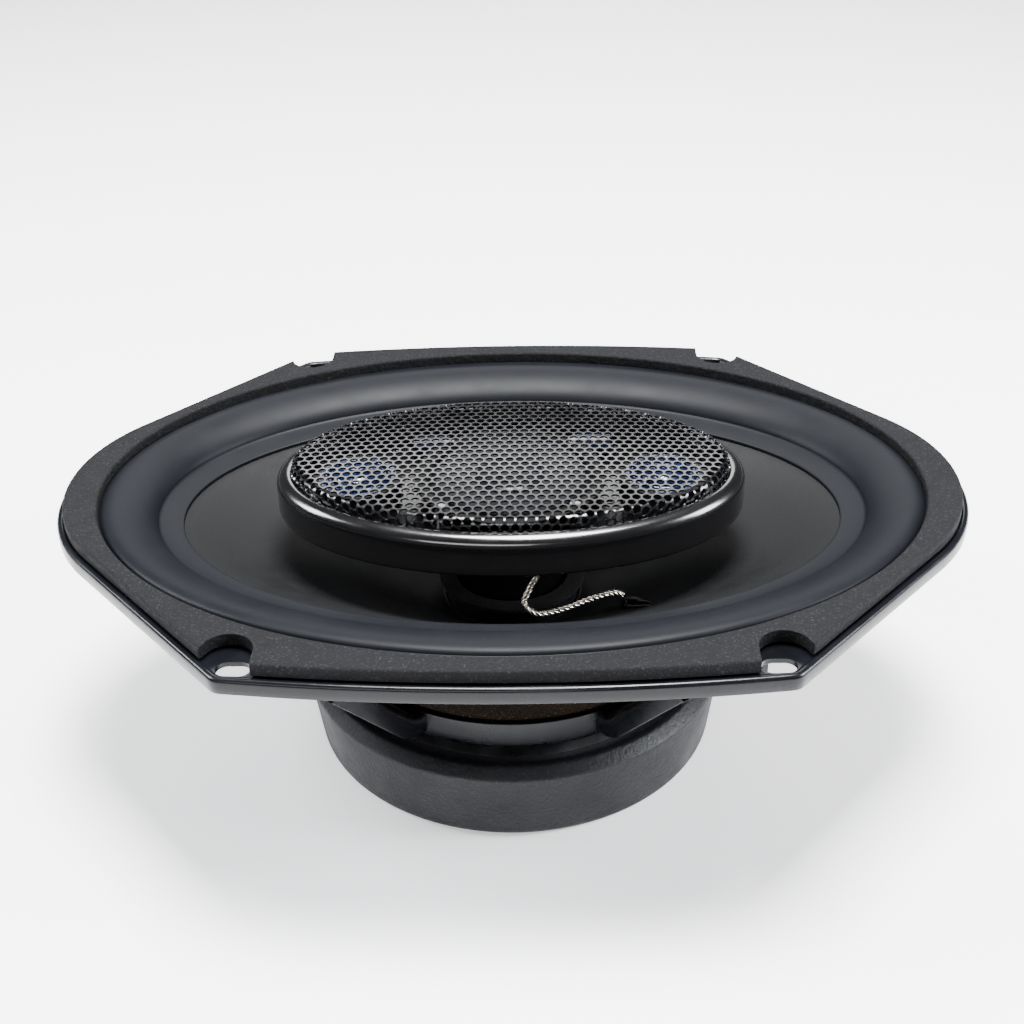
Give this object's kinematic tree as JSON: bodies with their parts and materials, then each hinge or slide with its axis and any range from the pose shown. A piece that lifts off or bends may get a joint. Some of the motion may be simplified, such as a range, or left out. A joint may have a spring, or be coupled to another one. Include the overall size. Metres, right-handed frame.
{
  "type": "coaxial car speaker",
  "caption": "Oval coaxial car speaker: flanged basket with slotted screw holes, sprung cone, grilled pod with midrange and tweeters, and a covered motor.",
  "frame": {"origin": "centre of the flange's mounting plane, which is the folded rim's underside", "axes": "+X along the long axis, towards the terminals; +Z out of the cone, away from the motor"},
  "size_m": [0.237, 0.17, 0.0828],
  "materials": {
    "painted_steel": "gloss",
    "gasket_foam": "matte",
    "surround_rubber": "satin",
    "black_board": "matte",
    "spider_cloth": "matte",
    "zinc_steel": "satin",
    "plated_steel": "satin",
    "ferrite": "matte",
    "cover_rubber": "matte",
    "post_plastic": "satin",
    "cone_paper": "matte",
    "former_film": "satin",
    "copper_wire": "satin",
    "felt": "matte",
    "brass_trim": "satin",
    "black_glue": "gloss",
    "pod_plastic": "satin",
    "grille_metal": "gloss",
    "midrange_film": "gloss",
    "tweeter_film": "gloss",
    "capacitor_film": "gloss",
    "wire_sleeve": "satin",
    "phenolic_board": "satin",
    "copper_braid": "bright"
  },
  "bodies": {
    "frame": {"basket": "painted_steel", "front_gasket": "gasket_foam", "surround": "surround_rubber", "spider_ring": "black_board", "spider": "spider_cloth", "basket_rivets": "zinc_steel", "top_plate": "plated_steel", "magnet": "ferrite", "t_yoke": "plated_steel", "magnet_cover": "cover_rubber", "center_post": "post_plastic", "post_bolt": "zinc_steel", "post_washer": "zinc_steel", "pod_housing": "pod_plastic", "pod_grille": "grille_metal", "midrange_frame": "post_plastic", "midrange_screws": "zinc_steel", "midrange_surround": "surround_rubber", "midrange_magnet": "plated_steel", "tweeter_housing_left": "post_plastic", "tweeter_magnet_left": "plated_steel", "tweeter_suspension_left": "tweeter_film", "tweeter_housing_right": "post_plastic", "tweeter_magnet_right": "plated_steel", "tweeter_suspension_right": "tweeter_film", "crossover_capacitors": "capacitor_film", "pod_wires": "wire_sleeve", "terminal_board": "phenolic_board", "terminal_tabs": "brass_trim", "terminal_rivets": "zinc_steel", "front_lead_near": "copper_braid", "front_lead_far": "copper_braid", "rear_lead_near": "copper_braid", "rear_lead_far": "copper_braid"},
    "cone": {"cone": "cone_paper", "voice_coil_former": "former_film", "voice_coil": "copper_wire", "dust_ring": "felt", "lead_eyelets": "brass_trim", "lead_glue_dabs": "black_glue"},
    "midrange": {"midrange_cone": "midrange_film", "midrange_coil": "copper_wire"},
    "tweeter_left": {"tweeter_dome_left": "tweeter_film", "tweeter_coil_left": "copper_wire"},
    "tweeter_right": {"tweeter_dome_right": "tweeter_film", "tweeter_coil_right": "copper_wire"}
  },
  "joints": [
    {"name": "cone_travel", "type": "slide", "parent": "frame", "child": "cone", "axis": [0, 0, 1], "range_m": [-0.005, 0.005], "stiffness_N_per_m": 3000, "deforming": ["surround", "spider", "front_lead_near", "front_lead_far", "rear_lead_near", "rear_lead_far"]},
    {"name": "midrange_travel", "type": "slide", "parent": "frame", "child": "midrange", "axis": [0, 0, 1], "range_m": [-0.0003, 0.0003], "stiffness_N_per_m": 1500, "deforming": ["midrange_surround"]},
    {"name": "tweeter_left_travel", "type": "slide", "parent": "frame", "child": "tweeter_left", "axis": [0, 0, 1], "range_m": [-0.0002, 0.0002], "stiffness_N_per_m": 500, "deforming": ["tweeter_suspension_left"]},
    {"name": "tweeter_right_travel", "type": "slide", "parent": "frame", "child": "tweeter_right", "axis": [0, 0, 1], "range_m": [-0.0002, 0.0002], "stiffness_N_per_m": 500, "deforming": ["tweeter_suspension_right"]}
  ]
}
